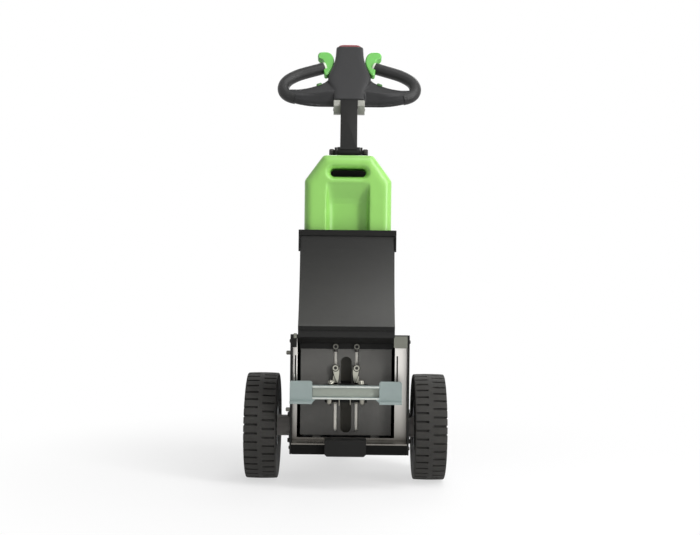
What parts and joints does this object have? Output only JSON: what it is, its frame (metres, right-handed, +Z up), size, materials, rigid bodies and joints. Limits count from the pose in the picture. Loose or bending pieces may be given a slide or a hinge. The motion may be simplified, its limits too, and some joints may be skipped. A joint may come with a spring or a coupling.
{
  "type": "pedestrian electric tow tractor",
  "caption": "Walk-behind tug with two driven block-tread wheels, a rear castor, a height-adjustable towing bar, a lift-out battery and a tilting looped tiller.",
  "frame": {"origin": "on the floor, in the middle of the bounding box seen from above", "axes": "+X to the right seen from the front, the towing bar faces -Y, +Z up"},
  "size_m": [0.488, 0.545, 1.1295],
  "materials": {
    "black_powdercoat": "satin powder coat",
    "dark_plate": "satin powder coat",
    "galvanised": "bright zinc plate",
    "hitch_zinc": "pale blue-grey zinc plate",
    "battery_green": "glossy moulded plastic",
    "switch_green": "semi-gloss moulded plastic",
    "head_plastic": "fine texture",
    "grip_rubber": "matte",
    "tyre_rubber": "matte",
    "rim_silver": "silver paint",
    "steel_bright": "polished",
    "cast_alu": "satin",
    "red_plastic": "gloss",
    "motor_grey": "painted",
    "castor_rubber": "matte"
  },
  "bodies": {
    "base": {"base_frame": "black_powdercoat", "floor_plate": "galvanised", "side_cover_left": "black_powdercoat", "side_cover_right": "black_powdercoat", "housing_roof": "black_powdercoat", "rear_cover": "black_powdercoat", "back_plane": "galvanised", "front_pan": "dark_plate", "guide_rods": "steel_bright", "hitch_foot": "black_powdercoat", "curved_shield": "dark_plate", "bay_side_left": "black_powdercoat", "bay_side_right": "black_powdercoat", "bay_back": "black_powdercoat", "bay_floor": "black_powdercoat", "bay_rim": "black_powdercoat", "mast": "black_powdercoat", "tiller_bracket": "black_powdercoat", "hinge_pin": "steel_bright", "control_panel": "head_plastic", "stop_button": "red_plastic", "drive_unit": "motor_grey", "castor_arm": "black_powdercoat", "axle_tube_left": "black_powdercoat", "axle_tube_right": "black_powdercoat"},
    "wheel_left": {"tyre_left": "tyre_rubber", "rim_left": "rim_silver", "axle_shaft_left": "steel_bright"},
    "wheel_right": {"tyre_right": "tyre_rubber", "rim_right": "rim_silver", "axle_shaft_right": "steel_bright"},
    "castor_fork_body": {"castor_fork": "steel_bright"},
    "castor_wheel_body": {"castor_wheel": "castor_rubber"},
    "hitch": {"hitch_bar": "hitch_zinc", "hitch_carriage": "black_powdercoat", "hitch_links": "steel_bright", "hitch_bolts": "steel_bright"},
    "battery": {"battery_case": "battery_green"},
    "tiller": {"tiller_pole": "black_powdercoat", "neck_clamp": "cast_alu", "head_body": "head_plastic", "grip_left": "grip_rubber", "grip_right": "grip_rubber", "thumb_switch_left": "switch_green", "thumb_switch_right": "switch_green", "belly_button": "red_plastic", "speed_pads": "switch_green"}
  },
  "joints": [
    {"name": "wheel_left_spin", "type": "hinge", "parent": "base", "child": "wheel_left", "pos_m": [-0.205, -0.1025, 0.13], "axis": [1, 0, 0], "continuous": true},
    {"name": "wheel_right_spin", "type": "hinge", "parent": "base", "child": "wheel_right", "pos_m": [0.205, -0.1025, 0.13], "axis": [1, 0, 0], "continuous": true},
    {"name": "castor_swivel", "type": "hinge", "parent": "base", "child": "castor_fork_body", "pos_m": [0, 0.1875, 0.11], "axis": [0, 0, 1], "continuous": true},
    {"name": "castor_spin", "type": "hinge", "parent": "castor_fork_body", "child": "castor_wheel_body", "pos_m": [0, 0.2225, 0.05], "axis": [1, 0, 0], "continuous": true},
    {"name": "hitch_height", "type": "slide", "parent": "base", "child": "hitch", "axis": [0, 0, 1], "range_m": [-0.065, 0.03]},
    {"name": "battery_lift", "type": "slide", "parent": "base", "child": "battery", "axis": [0, 0, 1], "range_m": [0, 0.26]},
    {"name": "tiller_tilt", "type": "hinge", "parent": "base", "child": "tiller", "pos_m": [0, 0.0095, 0.817], "axis": [-1, 0, 0], "range_deg": [-20, 45]}
  ]
}
